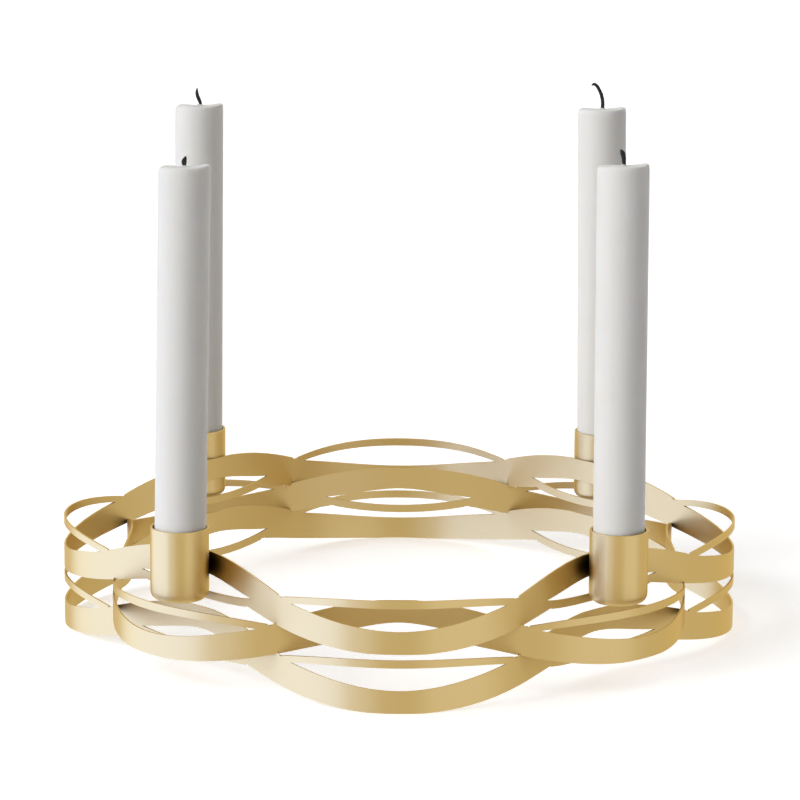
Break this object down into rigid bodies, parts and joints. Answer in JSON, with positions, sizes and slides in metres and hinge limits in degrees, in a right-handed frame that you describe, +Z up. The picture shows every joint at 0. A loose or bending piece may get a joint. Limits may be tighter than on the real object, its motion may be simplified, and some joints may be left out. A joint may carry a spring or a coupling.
{
  "type": "advent candle holder",
  "caption": "Free-standing advent candle holder of interlaced satin brass strip rings, with brass cups that hold lift-out taper candles upright.",
  "frame": {"origin": "on the table, under the centre of the rings", "axes": "+Z up; the viewer's side is towards -Y, with +X to the viewer's right"},
  "size_m": [0.2974, 0.2974, 0.2278],
  "materials": {
    "brass_strip": "satin, fine brushed",
    "brass_cup": "satin, fine brushed",
    "candle_wax": "smooth white wax",
    "charred_wick": "burnt cotton"
  },
  "bodies": {
    "holder": {"lower_ring": "brass_strip", "middle_ring": "brass_strip", "upper_ring": "brass_strip", "cup_front_left": "brass_cup", "cup_front_right": "brass_cup", "cup_back_left": "brass_cup", "cup_back_right": "brass_cup"},
    "taper_front_left": {"candle_front_left": "candle_wax", "wick_front_left": "charred_wick"},
    "taper_front_right": {"candle_front_right": "candle_wax", "wick_front_right": "charred_wick"},
    "taper_back_left": {"candle_back_left": "candle_wax", "wick_back_left": "charred_wick"},
    "taper_back_right": {"candle_back_right": "candle_wax", "wick_back_right": "charred_wick"}
  },
  "joints": [
    {"name": "lift_front_left", "type": "slide", "parent": "holder", "child": "taper_front_left", "axis": [0, 0, 1], "range_m": [0, 0.029]},
    {"name": "lift_front_right", "type": "slide", "parent": "holder", "child": "taper_front_right", "axis": [0, 0, 1], "range_m": [0, 0.029]},
    {"name": "lift_back_left", "type": "slide", "parent": "holder", "child": "taper_back_left", "axis": [0, 0, 1], "range_m": [0, 0.029]},
    {"name": "lift_back_right", "type": "slide", "parent": "holder", "child": "taper_back_right", "axis": [0, 0, 1], "range_m": [0, 0.029]}
  ]
}
